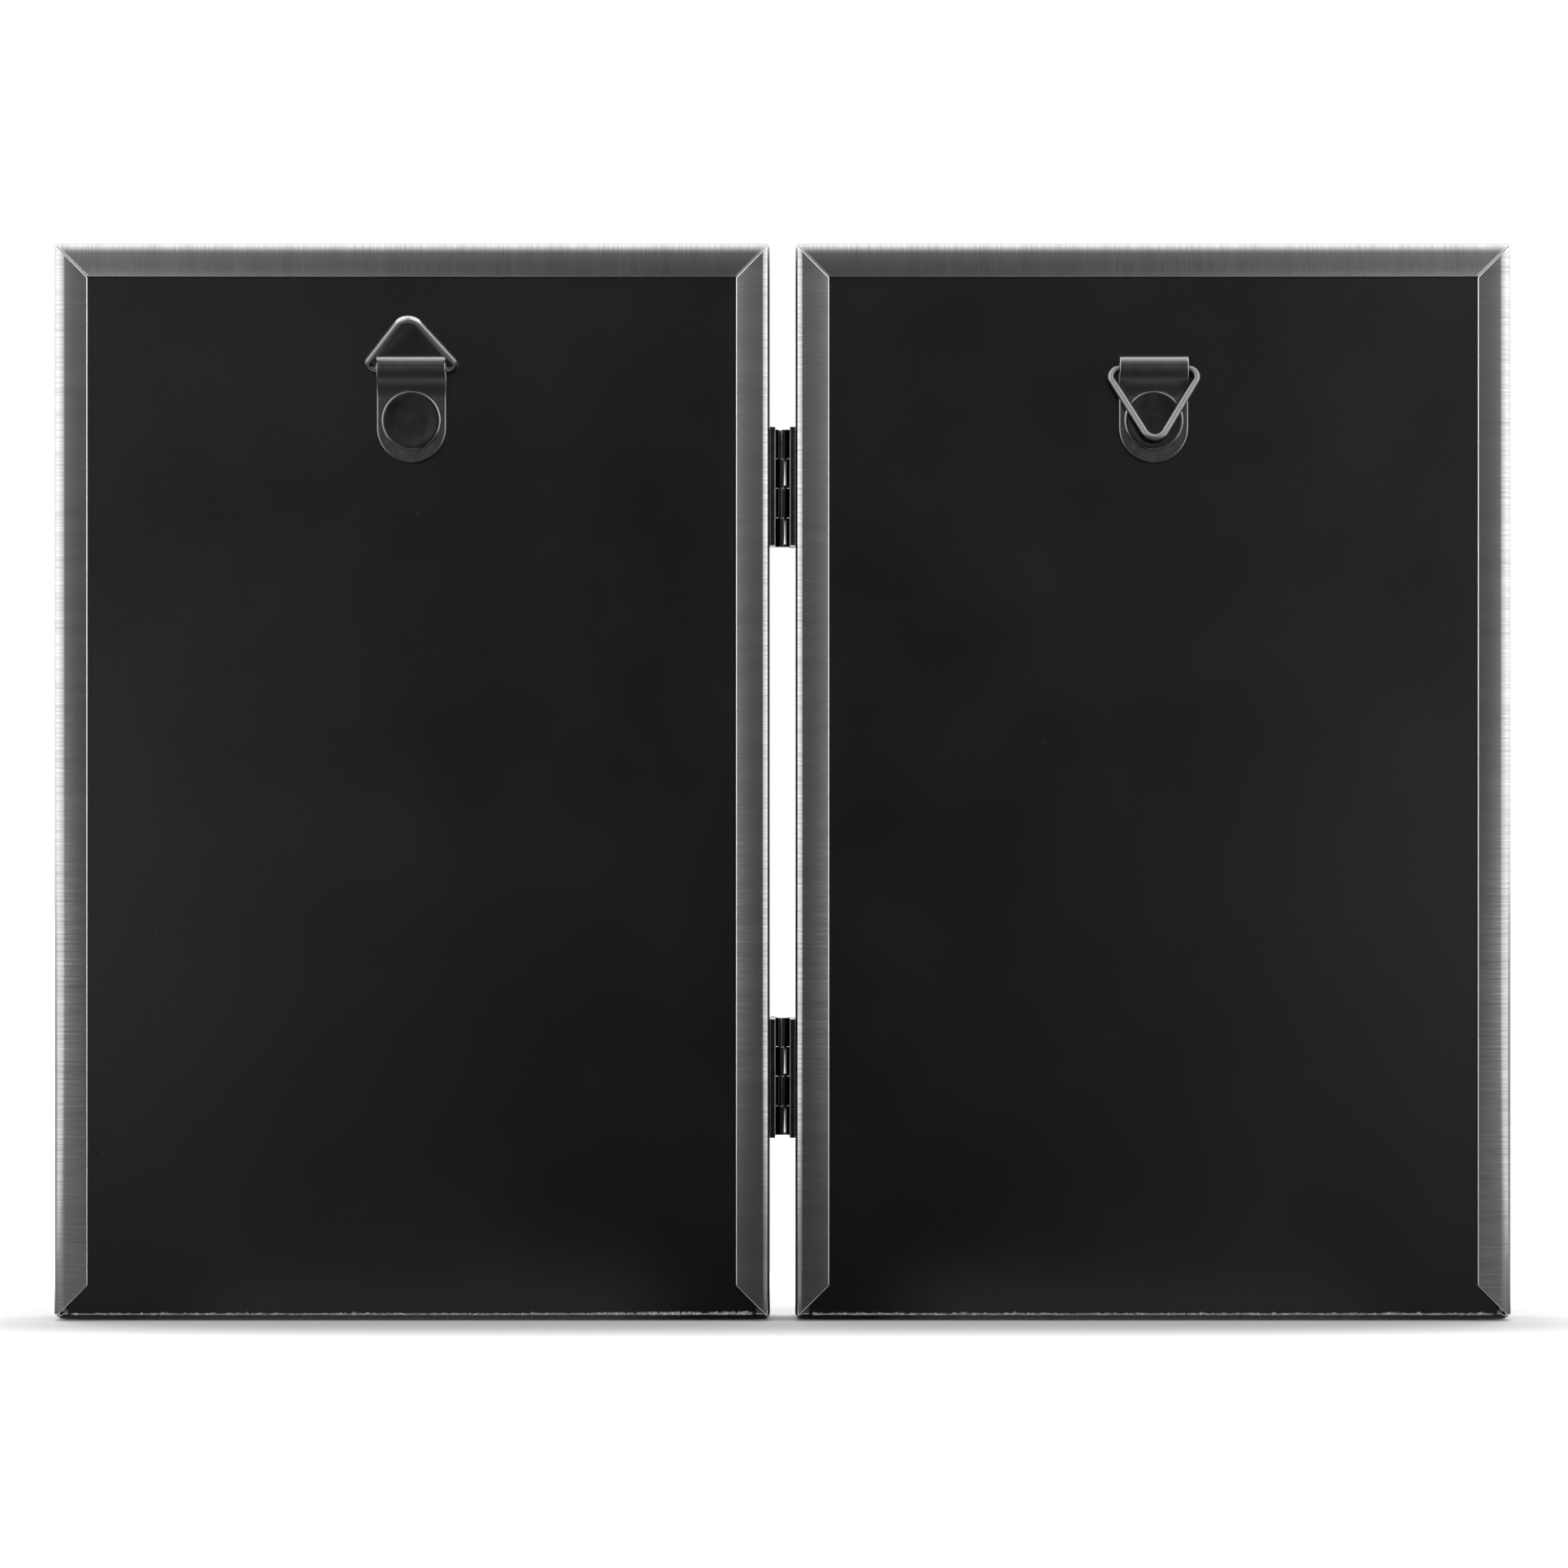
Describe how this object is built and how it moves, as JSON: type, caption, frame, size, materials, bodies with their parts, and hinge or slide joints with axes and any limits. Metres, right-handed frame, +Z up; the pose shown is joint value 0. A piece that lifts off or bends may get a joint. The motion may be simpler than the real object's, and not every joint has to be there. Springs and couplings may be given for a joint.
{
  "type": "hinged double photo frame",
  "caption": "Double photo frame: two folded sheet-metal panels joined by small butt hinges, with sliding black backing boards and strap hangers with wire rings.",
  "frame": {"origin": "middle of the bounding box at the height of the lower edges", "axes": "+X to the right as seen from the picture side, +Y towards the backing boards, +Z up"},
  "size_m": [0.2328, 0.025, 0.1721],
  "materials": {
    "brushed_rail": "dark pewter plating, brushed across the bar",
    "brace_steel": "plain mill finish",
    "clear_glass": "polished",
    "print_paper": "satin paper",
    "grey_card": "unlined grey card",
    "black_board": "black satin paper face on greyboard",
    "black_steel": "glossy black oxide",
    "ring_wire": "dark nickel plating",
    "pin_steel": "drawn bright wire"
  },
  "bodies": {
    "left_panel": {"left_top_rail": "brushed_rail", "left_bottom_rail": "brushed_rail", "left_hinge_stile": "brushed_rail", "left_outer_stile": "brushed_rail", "left_corner_braces": "brace_steel", "left_glass": "clear_glass", "left_photo_insert": "print_paper", "left_filler_pad": "grey_card", "upper_hinge_pin": "pin_steel", "upper_hinge_left_leaf": "black_steel", "upper_hinge_left_rivets": "black_steel", "lower_hinge_pin": "pin_steel", "lower_hinge_left_leaf": "black_steel", "lower_hinge_left_rivets": "black_steel"},
    "right_panel": {"right_top_rail": "brushed_rail", "right_bottom_rail": "brushed_rail", "right_hinge_stile": "brushed_rail", "right_outer_stile": "brushed_rail", "right_corner_braces": "brace_steel", "right_glass": "clear_glass", "right_photo_insert": "print_paper", "right_filler_pad": "grey_card", "upper_hinge_right_leaf": "black_steel", "upper_hinge_right_rivets": "black_steel", "lower_hinge_right_leaf": "black_steel", "lower_hinge_right_rivets": "black_steel"},
    "left_back": {"left_backboard": "black_board", "left_hanger_strap": "black_steel", "left_hanger_rivet": "black_steel"},
    "right_back": {"right_backboard": "black_board", "right_hanger_strap": "black_steel", "right_hanger_rivet": "black_steel"},
    "left_ring": {"left_hanger_ring": "ring_wire"},
    "right_ring": {"right_hanger_ring": "ring_wire"}
  },
  "joints": [
    {"name": "fold", "type": "hinge", "parent": "left_panel", "child": "right_panel", "pos_m": [0, -0.01042, 0.08605], "axis": [0, 0, 1], "range_deg": [-180, 12]},
    {"name": "left_board_slide", "type": "slide", "parent": "left_panel", "child": "left_back", "axis": [0, 0, -1], "range_m": [0, 0.165]},
    {"name": "right_board_slide", "type": "slide", "parent": "right_panel", "child": "right_back", "axis": [0, 0, -1], "range_m": [0, 0.165]},
    {"name": "left_ring_turn", "type": "hinge", "parent": "left_back", "child": "left_ring", "pos_m": [-0.0592, 0.00298, 0.15195], "axis": [1, 0, 0], "range_deg": [0, 166.26]},
    {"name": "right_ring_turn", "type": "hinge", "parent": "right_back", "child": "right_ring", "pos_m": [0.0592, 0.00298, 0.15195], "axis": [1, 0, 0], "range_deg": [-115.26, 51]}
  ]
}
